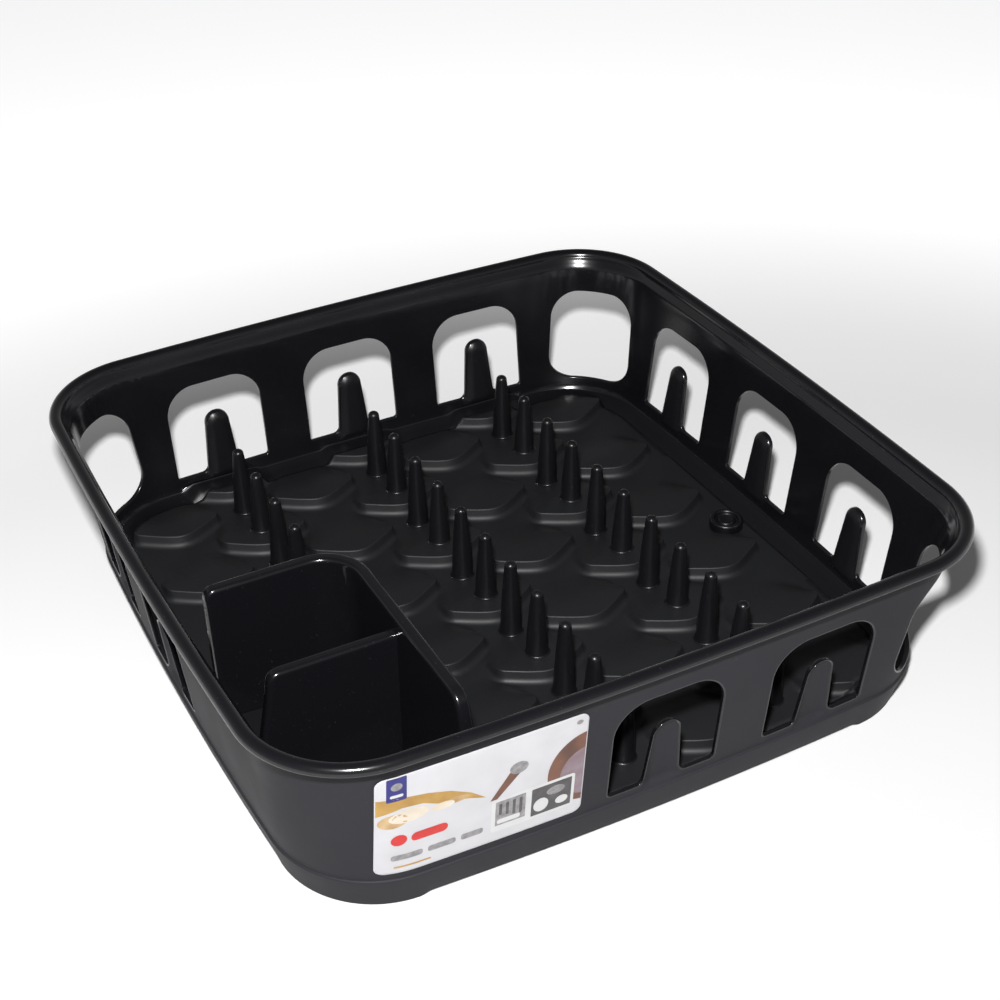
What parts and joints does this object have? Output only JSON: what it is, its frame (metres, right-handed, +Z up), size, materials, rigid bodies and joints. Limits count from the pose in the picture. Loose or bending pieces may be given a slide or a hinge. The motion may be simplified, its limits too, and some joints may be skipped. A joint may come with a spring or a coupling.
{
  "type": "dish drying rack",
  "caption": "Square glossy black moulded dish rack with arched drain windows, rows of plate spikes on a scalloped floor, and a cutlery corner.",
  "frame": {"origin": "on the worktop under the middle of the rack, level with the feet's undersides", "axes": "+Z up; +X along the front wall that carries the label, towards its windows; +Y from the front wall to the back wall"},
  "size_m": [0.39, 0.39, 0.1067],
  "materials": {
    "black_gloss_plastic": "glossy black polypropylene",
    "black_satin_plastic": "fine satin texture on the floor",
    "plug_rubber": "soft satin black",
    "label_paper": "printed, lightly coated paper"
  },
  "bodies": {
    "rack": {"floor_pan": "black_satin_plastic", "floor_border": "black_satin_plastic", "row_scales_left": "black_satin_plastic", "row_scales_middle": "black_satin_plastic", "row_scales_right": "black_satin_plastic", "scales_left": "black_satin_plastic", "scales_middle_left": "black_satin_plastic", "scales_middle_right": "black_satin_plastic", "scales_right_back": "black_satin_plastic", "scales_right_front": "black_satin_plastic", "base_skirt": "black_gloss_plastic", "front_wall": "black_gloss_plastic", "right_wall": "black_gloss_plastic", "back_wall": "black_gloss_plastic", "left_wall": "black_gloss_plastic", "corner_front_left": "black_gloss_plastic", "corner_front_right": "black_gloss_plastic", "corner_back_right": "black_gloss_plastic", "corner_back_left": "black_gloss_plastic", "rim_lip": "black_gloss_plastic", "cutlery_screen": "black_gloss_plastic", "cutlery_divider": "black_gloss_plastic", "spike_left_1": "black_gloss_plastic", "spike_left_2": "black_gloss_plastic", "spike_left_3": "black_gloss_plastic", "spike_left_4": "black_gloss_plastic", "spike_middle_1": "black_gloss_plastic", "spike_middle_2": "black_gloss_plastic", "spike_middle_3": "black_gloss_plastic", "spike_middle_4": "black_gloss_plastic", "spike_middle_5": "black_gloss_plastic", "spike_middle_6": "black_gloss_plastic", "spike_middle_7": "black_gloss_plastic", "spike_middle_8": "black_gloss_plastic", "spike_middle_9": "black_gloss_plastic", "spike_middle_10": "black_gloss_plastic", "spike_middle_11": "black_gloss_plastic", "spike_right_1": "black_gloss_plastic", "spike_right_2": "black_gloss_plastic", "spike_right_3": "black_gloss_plastic", "spike_right_4": "black_gloss_plastic", "spike_right_5": "black_gloss_plastic", "spike_right_6": "black_gloss_plastic", "spike_right_7": "black_gloss_plastic", "spike_right_8": "black_gloss_plastic", "spike_right_9": "black_gloss_plastic", "spike_right_10": "black_gloss_plastic", "spike_right_11": "black_gloss_plastic", "label": "label_paper"},
    "plug": {"drain_plug": "plug_rubber"}
  },
  "joints": [
    {"name": "plug_lift", "type": "slide", "parent": "rack", "child": "plug", "axis": [0, 0, 1], "range_m": [0, 0.115]}
  ]
}
